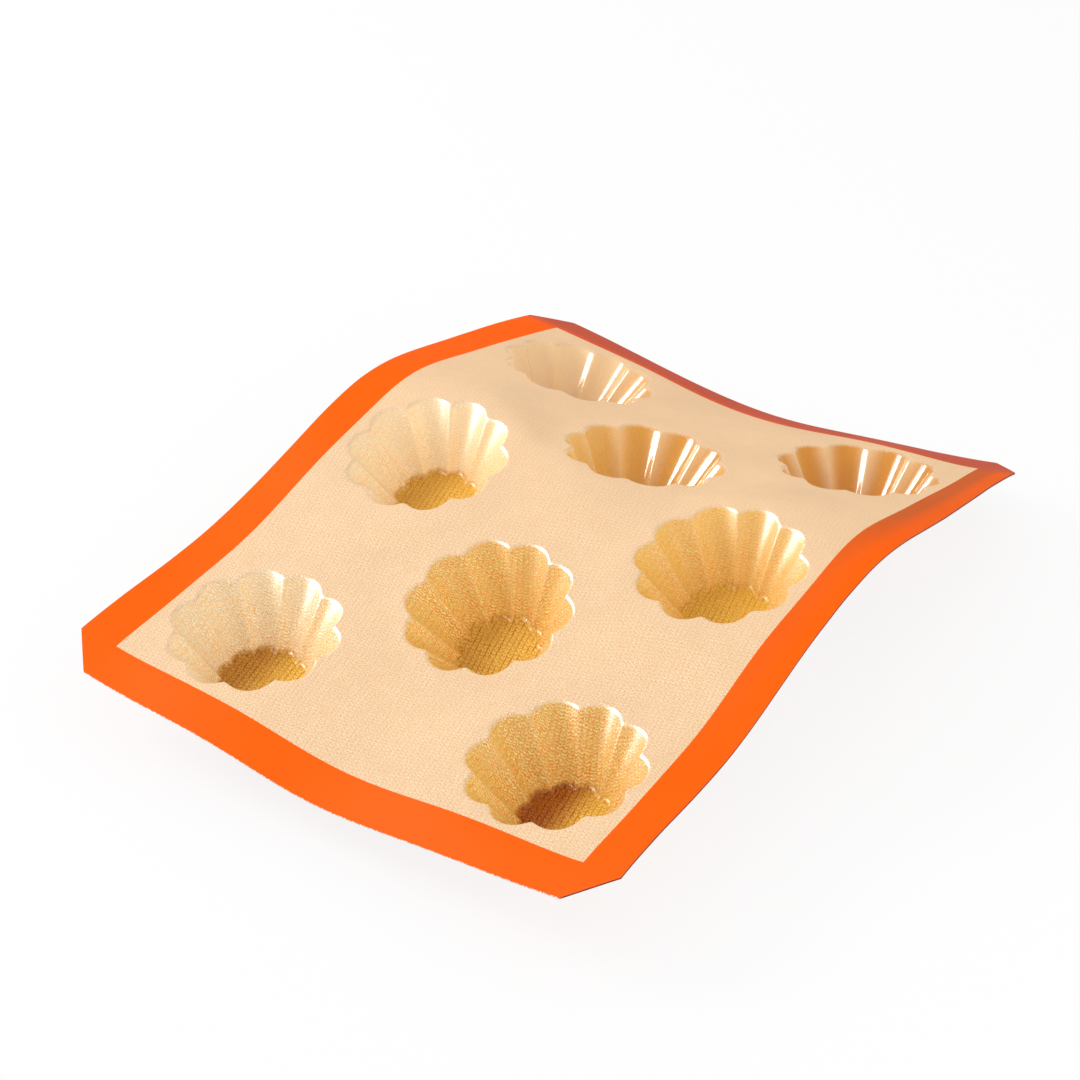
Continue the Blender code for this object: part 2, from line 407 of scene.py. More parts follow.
@dataclass
class CupTree:
    """Geometry nodes that press one fluted cup out of a square grid.

    The grid's first side goes round the cup. Its second side goes in five equal stretches down
    the flange, the lip, the wall and the foot, and over the floor to its middle.
    """

    shape: CupShape
    steps_per_flute: int
    rings_per_stretch: int = 9
    foot_cloth_radius: float = 0.013
    floor_stretch: float = 1.15
    weld: float = 1e-5

    def build(self) -> NodeTree:
        """The node tree.

        Returns:
            A geometry node group with an input for each size.
        """
        sizes = {**asdict(self.shape), "foot_cloth_radius": self.foot_cloth_radius,
                 "floor_stretch": self.floor_stretch}
        inputs = {name.replace("_", " ").capitalize(): ("NodeSocketFloat", value)
                  for name, value in sizes.items()}
        steps = self.shape.flutes * self.steps_per_flute
        rings = len(STRETCHES) * self.rings_per_stretch
        inputs |= {"Steps round": ("NodeSocketInt", steps), "Rings": ("NodeSocketInt", rings),
                   "Centre": ("NodeSocketVector", (0.0, 0.0, 0.0)),
                   "Material": ("NodeSocketMaterial", None)}
        self.tree, self.inner, leave = node_group("fluted_cup", 'GeometryNodeTree', inputs,
                                                  {"Geometry": "NodeSocketGeometry"})
        grid = self.node("GeometryNodeMeshGrid", {
            "Size X": 1.0, "Size Y": 1.0, "Vertices X": self.size("Steps round") + 1,
            "Vertices Y": self.size("Rings") + 1})
        radius, depth, place_radius, angle = self.profile()
        point = self.vector(radius * angle.cos(), radius * angle.sin(), -1 * depth)
        flat = self.vector(place_radius * angle.cos(), place_radius * angle.sin(), 0.0)
        place = self.node("ShaderNodeVectorMath", {0: flat, 1: self.inner["Centre"]}).outputs[0]
        share = (depth / self.size("Depth")).held()

        mesh = grid.outputs["Mesh"]
        for kind, values, settings in (
                ("StoreNamedAttribute", {"Name": PLACE_MAP, "Value": place},
                 {"data_type": 'FLOAT2', "domain": 'CORNER'}),
                ("StoreNamedAttribute", {"Name": DEPTH_NAME, "Value": share},
                 {"data_type": 'FLOAT', "domain": 'POINT'}),
                ("SetPosition", {"Position": point}, {}),
                ("FlipFaces", {}, {}),
                ("MergeByDistance", {"Distance": self.weld}, {}),
                ("RealizeInstances", {}, {}),
                ("SetMaterial", {"Material": self.inner["Material"]}, {})):
            mesh = self.node("GeometryNode" + kind, {0: mesh, **values}, **settings).outputs[0]
        put(self.tree, mesh, leave["Geometry"])
        return self.tree

    def node(self, kind: str, inputs: dict | None = None, **settings: object) -> Node:
        """A new node of the tree, as add_node makes it."""
        return add_node(self.tree, kind, inputs, **settings)

    def size(self, name: str) -> Number:
        """One of the tree's inputs as a number."""
        return Number(self.tree, self.inner[name])

    def vector(self, *parts: Number | float) -> NodeSocket:
        """A vector from its three parts."""
        return self.node("ShaderNodeCombineXYZ", dict(enumerate(parts))).outputs[0]

    def scallop(self, angle: Number, notch: Number, lobe: Number) -> Number:
        """Radius of a fluted outline, as CupShape.scallop gives it.

        Args:
            angle: Angle round the cup.
            notch: Radius at a notch.
            lobe: Radius at the top of a lobe.

        Returns:
            The radius.
        """
        half = pi / self.size("Flutes")
        centre = (lobe.squared() - notch.squared()) / ((lobe - notch * half.cos()) * 2)
        arc = lobe - centre
        from_notch = 1 - ((angle / (half * 2) + 0.5).fraction() - 0.5).size() * 2
        softness = self.size("Notch softness").squared()
        widest = (softness + 1).root()
        turn = half * ((widest - (from_notch.squared() + softness).root())
                       / (widest - softness.root()))
        return centre * turn.cos() + (arc.squared() - (centre * turn.sin()).squared()).root()

    def profile(self) -> tuple[Number, Number, Number, Number]:
        """The cup's skin over the grid.

        Returns:
            Radius, depth, radius of the place on the flat cloth, and angle.
        """
        x, y = split(self.tree, self.node("GeometryNodeInputPosition").outputs[0])
        angle = (x + 0.5) * (2 * pi)
        along = (0.5 - y) * len(STRETCHES)
        flange, lip, wall, foot, floor = ((along - i).held() for i in range(len(STRETCHES)))
        rim = self.scallop(angle, self.size("Rim notch"), self.size("Rim lobe"))
        base = self.scallop(angle, self.size("Floor notch"), self.size("Floor lobe"))
        lip_radius, foot_radius = self.size("Lip radius"), self.size("Foot radius")
        slant = self.size("Depth").apply("ARCTAN2", rim - base)
        seam = rim + lip_radius * (slant * 0.5).tan()
        floor_edge = base - foot_radius * (slant * 0.5).tan()
        full_turn = 1 - slant.cos()
        run = seam - floor_edge - (lip_radius + foot_radius) * slant.sin()
        drop = self.size("Depth") - (lip_radius + foot_radius) * full_turn
        slope = slant * (1 - foot)
        radius = (seam + self.size("Flange") * (1 - flange) - lip_radius * (slant * lip).sin()
                  - run * wall - foot_radius * (slant.sin() - slope.sin()) - floor_edge * floor)
        depth = (lip_radius * (1 - (slant * lip).cos()) + drop * wall
                 + foot_radius * (slope.cos() - slant.cos()))
        lip_path, foot_path = lip_radius * slant, foot_radius * slant
        wall_path = (run.squared() + drop.squared()).root()
        gone = ((lip_path * lip + wall_path * wall + foot_path * foot)
                / (lip_path + wall_path + foot_path))
        on_wall = (seam + self.size("Flange") * (1 - flange)
                   - (seam - self.size("Foot cloth radius")) * gone)
        on_floor = floor_edge * (1 - floor) / self.size("Floor stretch")
        whole_face = self.node("GeometryNodeFieldOnDomain", {0: along}, domain='FACE')
        is_floor = Number(self.tree, whole_face.outputs[0]).apply("GREATER_THAN",
                                                                  STRETCHES.index("floor"))
        return radius, depth, on_wall + (on_floor - on_wall) * is_floor, angle


# Shape of the sheet


@dataclass
class EdgeWave:
    """One bent edge of the sheet, from its slopes in degrees at evenly spaced stations."""

    slopes: tuple[float, ...]
    length: float
    steps: int = 200

    def __post_init__(self) -> None:
        """Sum the slopes to the edge's run and rise."""
        share = np.linspace(0, 1, self.steps + 1)
        slope = np.radians(self.smooth(share))
        self.along = share * self.length
        step = self.length / self.steps
        self.run, self.rise = (
            np.concatenate([[0.0], np.cumsum((values[1:] + values[:-1]) / 2 * step)])
            for values in (np.cos(slope), np.sin(slope)))

    def smooth(self, share: np.ndarray) -> np.ndarray:
        """The slope anywhere along the edge.

        Args:
            share: Shares of the edge's length.

        Returns:
            The slope at each, on a smooth curve through the stations.
        """
        values = np.asarray(self.slopes, float)
        tangents = np.gradient(values)
        place = share * (len(values) - 1)
        low = np.minimum(place.astype(int), len(values) - 2)
        f = place - low
        return ((2 * f ** 3 - 3 * f ** 2 + 1) * values[low]
                + (f ** 3 - 2 * f ** 2 + f) * tangents[low]
                + (3 * f ** 2 - 2 * f ** 3) * values[low + 1]
                + (f ** 3 - f ** 2) * tangents[low + 1])

    def at(self, distance: np.ndarray) -> tuple[np.ndarray, np.ndarray]:
        """Run and rise at a distance along the edge."""
        return (np.interp(distance, self.along, self.run),
                np.interp(distance, self.along, self.rise))


class ThinPlate:
    """The smoothest surface over the flat sheet that passes through given points."""

    def __init__(self, places: np.ndarray, points: np.ndarray) -> None:
        """Solve for the plate.

        Args:
            places: Places on the flat sheet.
            points: The point that each of them is carried to.
        """
        self.places = places
        level = np.hstack([np.ones((len(places), 1)), places])
        rows = np.vstack([np.hstack([self.kernel(places), level]),
                          np.hstack([level.T, np.zeros((3, 3))])])
        self.weights = np.linalg.solve(rows, np.vstack([points, np.zeros((3, 3))]))

    def kernel(self, places: np.ndarray) -> np.ndarray:
        """Bending at each place from a push at each of the plate's own places."""
        squares = ((places[:, None] - self.places[None]) ** 2).sum(-1)
        return squares * np.log(np.maximum(squares, SMALLEST_SQUARE))

    def at(self, places: np.ndarray) -> np.ndarray:
        """Points of the plate at an array of places."""
        level = np.hstack([np.ones((len(places), 1)), places])
        return np.hstack([self.kernel(places), level]) @ self.weights


@dataclass
class BentSheet:
    """The top surface of the bent sheet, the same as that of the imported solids."""

    cup: CupShape
    length: float = 0.400
    width: float = 0.300
    thickness: float = 0.0008
    border: float = 0.020
    corner_cut: float = 0.018
    land_beside_border: float = 0.0023
    right_slopes: tuple[float, ...] = (12.0, -0.5, 16.0, 7.5, -14.5, -11.5, -21.5)
    left_slopes: tuple[float, ...] = (7.5, 0.5, 11.0, 12.5, -13.0, -15.0, -21.0)
    front_slopes: tuple[float, ...] = (-11.5, -6.0, -6.5, 9.0, 3.0, 13.0)
    far_slopes: tuple[float, ...] = (-13.5, -7.5, -7.5, 5.0, 9.5, 4.5)
    crown: float = 0.0115
    collar_margin: float = 0.0013
    fit_stations: int = 24
    edge_stations: int = 16
    collar_stations: int = 36
    collar_rings: int = 3

    def __post_init__(self) -> None:
        """Place the cups, lay their flat collars, and stretch the plate between them."""
        lobe_seam = float(self.cup.flange_radius(np.array(0.0))) - self.cup.flange
        self.collar_radius = lobe_seam + self.collar_margin
        self.cups = self.cup_places(self.border + self.land_beside_border + lobe_seam)
        self.right = EdgeWave(self.right_slopes, self.length)
        self.left = EdgeWave(self.left_slopes, self.length)
        self.front = EdgeWave(self.front_slopes, self.width)
        self.far = EdgeWave(self.far_slopes, self.width)
        self.collars = {name: self.collar(*centre) for name, centre in self.cups.items()}
        self.plate = self.stretched_plate()

    def cup_places(self, inset: float) -> dict[str, tuple[float, float]]:
        """Places of the cups, in two outer rows of three and a middle row of two.

        Args:
            inset: Distance of the outer cups' centres from the sheet's edges.

        Returns:
            CAD node name to flat centre.
        """
        ends = (inset, self.length / 2, self.length - inset)
        places = {f"cup_{where}_{side}": (s, t)
                  for side, t in (("right", inset), ("left", self.width - inset))
                  for where, s in zip(("front", "middle", "far"), ends)}
        places["cup_front_center"] = ((ends[0] + ends[1]) / 2, self.width / 2)
        places["cup_far_center"] = ((ends[1] + ends[2]) / 2, self.width / 2)
        return places

    def patch(self, s: np.ndarray, t: np.ndarray) -> np.ndarray:
        """Points of the patch between the four edges, which the collars are laid on.

        Args:
            s: Distances along the length.
            t: Distances across the width.

        Returns:
            A point for each pair.
        """
        p, q = s / self.length, t / self.width
        (right_run, right_rise), (left_run, left_rise) = self.right.at(s), self.left.at(s)
        (front_run, front_rise), (far_run, far_rise) = self.front.at(t), self.far.at(t)
        far_right = self.right.rise[-1]
        front_left = self.front.rise[-1]
        far_left = front_left + self.left.rise[-1]
        mend = far_left - far_right - self.far.rise[-1]
        along = right_rise * (1 - q) + (front_left + left_rise) * q
        across = front_rise * (1 - p) + (far_right + far_rise + mend * q) * p
        corners = far_right * p * (1 - q) + front_left * (1 - p) * q + far_left * p * q
        crown = self.crown * np.sin(pi * p) * np.sin(pi * q)
        return np.stack([right_run * (1 - q) + left_run * q,
                         front_run * (1 - p) + far_run * p,
                         along + across - corners + crown], -1)

    def collar(self, s: float, t: float) -> Matrix:
        """Frame of the flat collar that lies closest to the bent sheet round a cup.

        Args:
            s: The cup's centre along the length.
            t: The cup's centre across the width.

        Returns:
            A matrix whose first column lies along s and whose third is square to the collar.
        """
        angle = np.linspace(0, 2 * pi, self.fit_stations, endpoint=False)
        rim = self.patch(s + self.cup.rim_notch * np.cos(angle),
                         t + self.cup.rim_notch * np.sin(angle))
        along = Vector((rim * np.cos(angle)[:, None]).sum(0)).normalized()
        across = Vector((rim * np.sin(angle)[:, None]).sum(0)).normalized()
        normal = along.cross(across).normalized()
        along = (along + across.cross(normal)).normalized()
        turn = Matrix((along, normal.cross(along), normal)).transposed()
        return Matrix.Translation(Vector(rim.mean(0))) @ turn.to_4x4()

    def on_collar(self, name: str, places: np.ndarray) -> np.ndarray:
        """Points of a cup's flat collar at an array of places."""
        frame_of_cup = np.array(self.collars[name])
        return frame_of_cup[:3, 3] + (places - self.cups[name]) @ frame_of_cup[:3, :2].T

    def stretched_plate(self) -> ThinPlate:
        """The plate that the whole sheet follows.

        Returns:
            A thin plate through the sheet's four edges and through rings on each collar.
        """
        along = np.linspace(0, self.length, self.edge_stations + 1)
        across = np.linspace(0, self.width, self.edge_stations + 1)[1:-1]
        places = np.array([(s, t) for s in along for t in (0.0, self.width)]
                          + [(s, t) for s in (0.0, self.length) for t in across])
        points = self.patch(places[:, 0], places[:, 1])
        angle = np.linspace(0, 2 * pi, self.collar_stations, endpoint=False)
        for name, centre in self.cups.items():
            rings = np.vstack([np.stack([centre[0] + radius * np.cos(angle),
                                         centre[1] + radius * np.sin(angle)], -1)
                               for radius in np.linspace(self.cup.rim_notch, self.collar_radius,
                                                         self.collar_rings)])
            places = np.vstack([places, rings])
            points = np.vstack([points, self.on_collar(name, rings)])
        return ThinPlate(places, points)

    def cup_outline(self, name: str, count: int) -> np.ndarray:
        """Outer edge of a cup's flange.

        Args:
            name: CAD node of the cup.
            count: How many points the edge has.

        Returns:
            Places of the edge, evenly turned round the cup.
        """
        angle = np.linspace(0, 2 * pi, count, endpoint=False)
        radius = self.cup.flange_radius(angle)
        return np.stack([self.cups[name][0] + radius * np.cos(angle),
                         self.cups[name][1] + radius * np.sin(angle)], -1)


def rectangle(length: float, width: float, inset: float) -> list[tuple[float, float]]:
    """Corners of the sheet's rectangle, set in from its edges."""
    return [(inset, inset), (length - inset, inset), (length - inset, width - inset),
            (inset, width - inset)]


def stepped(corners: list[tuple[float, float]], spacing: float) -> list[tuple[float, float]]:
    """A closed outline with evenly spaced points along each of its sides.

    Args:
        corners: Corners of the outline.
        spacing: Longest step.

    Returns:
        Points of the outline.
    """
    points = []
    for (s0, t0), (s1, t1) in zip(corners, corners[1:] + corners[:1]):
        count = ceil(hypot(s1 - s0, t1 - t0) / spacing)
        points += [(s0 + (s1 - s0) * i / count, t0 + (t1 - t0) * i / count)
                   for i in range(count)]
    return points


def flat_skin(name: str, outer: list, holes: list[list], inner: list) -> Mesh:
    """A flat triangle mesh inside an outline and outside its holes.

    Args:
        name: Name of the mesh.
        outer: Points of the outline.
        holes: Points of each hole's outline.
        inner: Further points that the triangles pass through.

    Returns:
        The mesh, whose places are in its UV map.
    """
    coords, loops = [], []
    for loop in [outer, *holes]:
        loops.append(list(range(len(coords), len(coords) + len(loop))))
        coords += [Vector(c) for c in loop]
    coords += [Vector(c) for c in inner]
    points, _, triangles, _, _, inside = delaunay_2d_cdt(coords, [], loops, 0, SAME_PLACE)
    form = bmesh.new()
    uv = form.loops.layers.uv.new(PLACE_MAP)
    vertices = [form.verts.new((s, t, 0.0)) for s, t in points]
    for triangle, owners in zip(triangles, inside):
        if owners == [0]:  # in the outline, and in no hole
            face = form.faces.new([vertices[i] for i in triangle])
            for loop in face.loops:
                loop[uv].uv = loop.vert.co.xy
    return plain_data(name, form)


def plain_data(name: str, form: bmesh.types.BMesh) -> Mesh:
    """Mesh data of a form.

    Args:
        name: Name of the data.
        form: The form, which is freed.

    Returns:
        The data.
    """
    data = bpy.data.meshes.new(name)
    form.to_mesh(data)
    form.free()
    return data


def add_object(name: str, data: ID) -> Object:
    """A new object in the scene.

    Args:
        name: Name of the object.
        data: What it shows.

    Returns:
        The object.
    """
    made = bpy.data.objects.new(name, data)
    bpy.context.scene.collection.objects.link(made)
    return made


def corners_of(mesh: Mesh) -> np.ndarray:
    """Places of a mesh's vertices.

    Args:
        mesh: The mesh.

    Returns:
        An array with a row for each vertex.
    """
    flat = np.empty(len(mesh.vertices) * 3, np.float32)
    mesh.vertices.foreach_get("co", flat)
    return flat.reshape(-1, 3).astype(float)


def carry(mesh: Mesh, points: np.ndarray) -> None:
    """Move a mesh's vertices to given points."""
    mesh.vertices.foreach_set("co", points.astype(np.float32).ravel())
    mesh.update()


def plain_mesh(piece: Object) -> None:
    """Replace an object's mesh by the result of its modifiers, and remove them.

    Args:
        piece: The object.
    """
    graph = bpy.context.evaluated_depsgraph_get()
    finished = bpy.data.meshes.new_from_object(piece.evaluated_get(graph), depsgraph=graph)
    piece.modifiers.clear()
    piece.data = finished


# Finishes

Span = tuple[float, float]


@dataclass(frozen=True)
class Spots:
    """Uneven spots, in which an effect is whole in some places and weak in others."""

    scale: float
    detail: float
    span: Span
    least: float

    def over(self, tree: NodeTree, place: NodeSocket) -> Number:
        """Strength of the effect at a place, from its least to 1."""
        strength = noise(tree, place, self.scale, self.detail).rise(*self.span)
        return strength.between(self.least, 1.0)


@dataclass(frozen=True)
class Knit:
    """Knitted cloth: columns of V stitches, a little askew to the sheet.

    Columns and courses are in millimetres, noise scales in bumps per millimetre, and spans are
    shares of a column or a course.
    """

    column: float = 2.36
    course: float = 1.90
    turn: float = 11.0
    lean: float = 0.7
    stitch: float = 0.6
    groove: float = 1.0
    groove_span: Span = (0.0, 0.5)
    wander: float = 2.4
    wander_scale: float = 0.018
    jitter: float = 0.8
    jitter_scales: tuple[float, float] = (0.55, 0.83)
    slip: float = 1.6
    leg_span: Span = (0.10, 0.75)
    twin_span: Span = (0.0, 0.4)
    twin_least: float = 0.75
    open_spots: Spots = Spots(scale=0.30, detail=2.0, span=(0.35, 0.60), least=0.4)
    worn_spots: Spots = Spots(scale=0.11, detail=3.0, span=(0.25, 0.70), least=0.4)
    fuzz_scale: float = 1.6
    fuzz: Span = (0.3, 1.7)

    def group(self) -> NodeTree:
        """The shader group.

        Returns:
            A group that gives the threads' mask and their height.
        """
        sizes = {"Column": self.column, "Course": self.course, "Turn": radians(self.turn),
                 "Lean": self.lean, "Stitch": self.stitch, "Groove": self.groove,
                 "Wander": self.wander, "Jitter": self.jitter}
        tree, inner, leave = node_group(
            "knitted_cloth", 'ShaderNodeTree',
            {"Place": ("NodeSocketVector", None),
             **{name: ("NodeSocketFloat", value) for name, value in sizes.items()}},
            {"Thread": "NodeSocketFloat", "Height": "NodeSocketFloat"})
        place = inner["Place"]
        s, t = split(tree, place)
        turn, stitch = Number(tree, inner["Turn"]), Number(tree, inner["Stitch"])
        wander, jitter, slip = (noise(tree, place, scale, detail=1.0) - 0.5
                                for scale in (self.wander_scale, *self.jitter_scales))
        along = s * turn.cos() + t * turn.sin() + slip * inner["Jitter"] * self.slip
        across = (t * turn.cos() - s * turn.sin() + wander * inner["Wander"]
                  + jitter * inner["Jitter"])
        column = ((across / inner["Column"]).fraction() - 0.5).size() * 2
        course = (along / inner["Course"] - column * inner["Lean"]).fraction()
        leg = (1 - (course - 0.5).size() * 2).rise(*self.leg_span)
        twin = column.rise(*self.twin_span).between(self.twin_least, 1.0)
        groove = 1 - (1 - column).rise(*self.groove_span) * twin
        ridge = 1 - groove * inner["Groove"] * self.open_spots.over(tree, place)
        thread = ridge * (leg * stitch + (1 - stitch))
        fuzz = noise(tree, place, self.fuzz_scale).between(*self.fuzz)
        (((thread * fuzz - 0.5) * self.worn_spots.over(tree, place)) + 0.5).held().put(
            leave["Thread"])
        thread.put(leave["Height"])
        return tree


@dataclass
class Surface:
    """Node groups that every silicone material shares, each built once.

    Lengths are in millimetres. The two noises of the mottle are given as bumps to a patch and
    finer layers.
    """

    sheet: BentSheet
    patch: float = 40.0
    slow_noise: tuple[float, float] = (1.0, 3.0)
    quick_noise: tuple[float, float] = (6.0, 4.0)
    slow_share: float = 0.75
    stray: float = 0.7
    stray_scale: float = 0.9
    edge_softness: float = 0.16

    def __post_init__(self) -> None:
        """Build the shared groups."""
        self.knit = Knit().group()
        self.mottle = self.mottle_group()
        self.print_edge = self.print_group()

    def mottle_group(self) -> NodeTree:
        """Uneven silicone: slow changes of tone and smudges of the gloss.

        Returns:
            A group that gives a tone and a smudge, both about 0.5.
        """
        tree, inner, leave = node_group(
            "silicone_mottle", 'ShaderNodeTree',
            {"Place": ("NodeSocketVector", None), "Patch": ("NodeSocketFloat", self.patch)},
            {"Tone": "NodeSocketFloat", "Smudge": "NodeSocketFloat"})
        place = scaled(tree, inner["Place"], 1 / Number(tree, inner["Patch"]))
        slow, quick = (noise(tree, place, *layers)
                       for layers in (self.slow_noise, self.quick_noise))
        (slow * self.slow_share + quick * (1 - self.slow_share)).put(leave["Tone"])
        quick.put(leave["Smudge"])
        return tree

    def print_group(self) -> NodeTree:
        """Where the border's colour lies, with an inner edge that follows the stitches.

        Returns:
            A group that gives 1 on the border and 0 on the web.
        """
        tree, inner, leave = node_group(
            "border_colour", 'ShaderNodeTree',
            {"Place": ("NodeSocketVector", None), "Stray": ("NodeSocketFloat", self.stray)},
            {"Mask": "NodeSocketFloat"})
        s, t = split(tree, inner["Place"])
        border, length, width = (size * MILLIMETRES for size in (
            self.sheet.border, self.sheet.length, self.sheet.width))
        inside = (s - border).lesser(length - border - s).lesser(
            (t - border).lesser(width - border - t))
        wobble = noise(tree, inner["Place"], self.stray_scale, detail=3.0) - 0.5
        stray = wobble * inner["Stray"]
        (1 - (inside + stray).rise(-self.edge_softness, self.edge_softness)).put(leave["Mask"])
        return tree


@dataclass(frozen=True)
class Tint:
    """Colours of the cloth at one depth: between its threads, and on them."""

    ground: str
    thread: str

    def on(self, tree: NodeTree, threads: Number) -> NodeSocket:
        """Colour of ground and threads together."""
        return blend(tree, threads, linear(self.ground), linear(self.thread))


@dataclass(frozen=True)
class Zones:
    """Where one look of the silicone gives way to another.

    The first four are shares of a cup's depth. The others are places along the sheet or across
    it, in millimetres.
    """

    lip: Span = (0.002, 0.015)
    fine_knit: Span = (0.0, 0.05)
    wall_colour: Span = (0.0, 0.055)
    floor: Span = (0.91, 1.0)
    soft_knit_along: Span = (100.0, 320.0)
    # Where the far cups' painted shade and the ridges' stronger painted highlight take over.
    far_along: Span = (230.0, 330.0)
    # Painted light: across this zone the left-hand cups' walls are painted paler, as if lit more
    # from the left.
    painted_light_across: Span = (170.0, 250.0)
    # Zones of the border's painted shade and painted pinkish reflection.
    inner_border_across: Span = (4.0, 18.0)
    right_border_across: Span = (30.0, 90.0)
    faded_along: Span = (200.0, 340.0)
    border_half_shade_along: Span = (60.0, 200.0)
    far_strip_along: Span = (372.0, 388.0)


@dataclass(frozen=True)
class SiliconeFinish:
    """Silicone over knitted cloth.

    The pairs of numbers are an effect's strength at the two ends of its zone. Relief is in
    metres, and noise scales are in bumps per millimetre.
    """

    name: str
    web: Tint = Tint("d6a062", "fae0c0")
    wall: Tint = Tint("ec880c", "f8ea88")
    # Painted shade: a darker wall tint for the far cups.
    painted_shade_far_wall: Tint = Tint("cc740c", "ecb254")
    # Painted light: a paler wall tint for the left-hand cups and for the painted highlights on
    # the flute ridges.
    painted_light_wall: Tint = Tint("f8c068", "fffce4")
    # Floor tint: partly the silicone's own colour, partly painted shade, darker than the wall for
    # less light through the floor.
    floor: Tint = Tint("c86c08", "ffdc60")
    # Painted shadow: a darker floor tint for the shaded side of each cup's floor.
    painted_shadow_floor: Tint = Tint("702c04", "c4701c")
    border: Tint = Tint("ff5e00", "ff6404")
    # Painted shade and painted reflection: darker, pinker border tints for the right side and the
    # far strip.
    painted_shade_border: Tint = Tint("ca5c26", "cc622c")
    painted_shade_sheen_strip: Tint = Tint("c2523a", "c65a42")
    zones: Zones = Zones()
    tone: float = 0.10
    roughness: float = 0.75
    smudge: float = 0.10
    relief: float = 0.00010
    specular: float = 0.03
    coat: float = 0.0
    coat_roughness: float = 0.33
    coat_ior: float = 1.75
    coat_lost_on_floor: float = 0.7
    fringe: float = 0.05
    fringe_scale: float = 0.7
    groove: Span = (0.55, 1.0)
    coarse_knit: Span = (0.6, 1.0)
    lost_far_knit: Span = (0.7, 0.9)
    grain: float = 1.1
    grain_scale: float = 1.3
    painted_light_lost_far: float = 0.25
    ridge_painted_highlight: Span = (0.15, 0.60)
    # Strengths of the border's painted shade.
    border_shade_inside: Span = (0.4, 1.0)
    border_half_shade: float = 0.35
    sag: float = 2.0
    sag_scale: float = 0.14
    lip_relief: Span = (0.5, 1.0)
    wall_course: float = 1.1
    wall_lean: float = 0.6
    wall_stitch: float = 1.0
    wall_groove: float = 0.75
    wall_jitter: float = 1.1

    def material(self, surface: Surface) -> Material:
        """The material.

        Args:
            surface: The shared node groups.

        Returns:
            A material that reads the piece's places and depths.
        """
        material, tree, shader = new_material(self.name)
        cloth = Cloth(self, surface, tree)
        mottle = cloth.group(surface.mottle)
        tone, smudge = ((Number(tree, mottle.outputs[name]) - 0.5) * (2 * amount)
                        for name, amount in (("Tone", self.tone), ("Smudge", self.smudge)))
        put(tree, scaled(tree, cloth.colour(), tone + 1), shader.inputs["Base Color"])
        (smudge + self.roughness).put(shader.inputs["Roughness"])
        shader.inputs["Specular IOR Level"].default_value = self.specular
        if self.coat:
            (cloth.lip * (1 - cloth.on_floor * self.coat_lost_on_floor) * self.coat).put(
                shader.inputs["Coat Weight"])
        shader.inputs["Coat Roughness"].default_value = self.coat_roughness
        shader.inputs["Coat IOR"].default_value = self.coat_ior
        bump = add_node(tree, "ShaderNodeBump",
                        {"Distance": self.relief, "Height": cloth.height()})
        put(tree, bump.outputs[0], shader.inputs["Normal"])
        return material


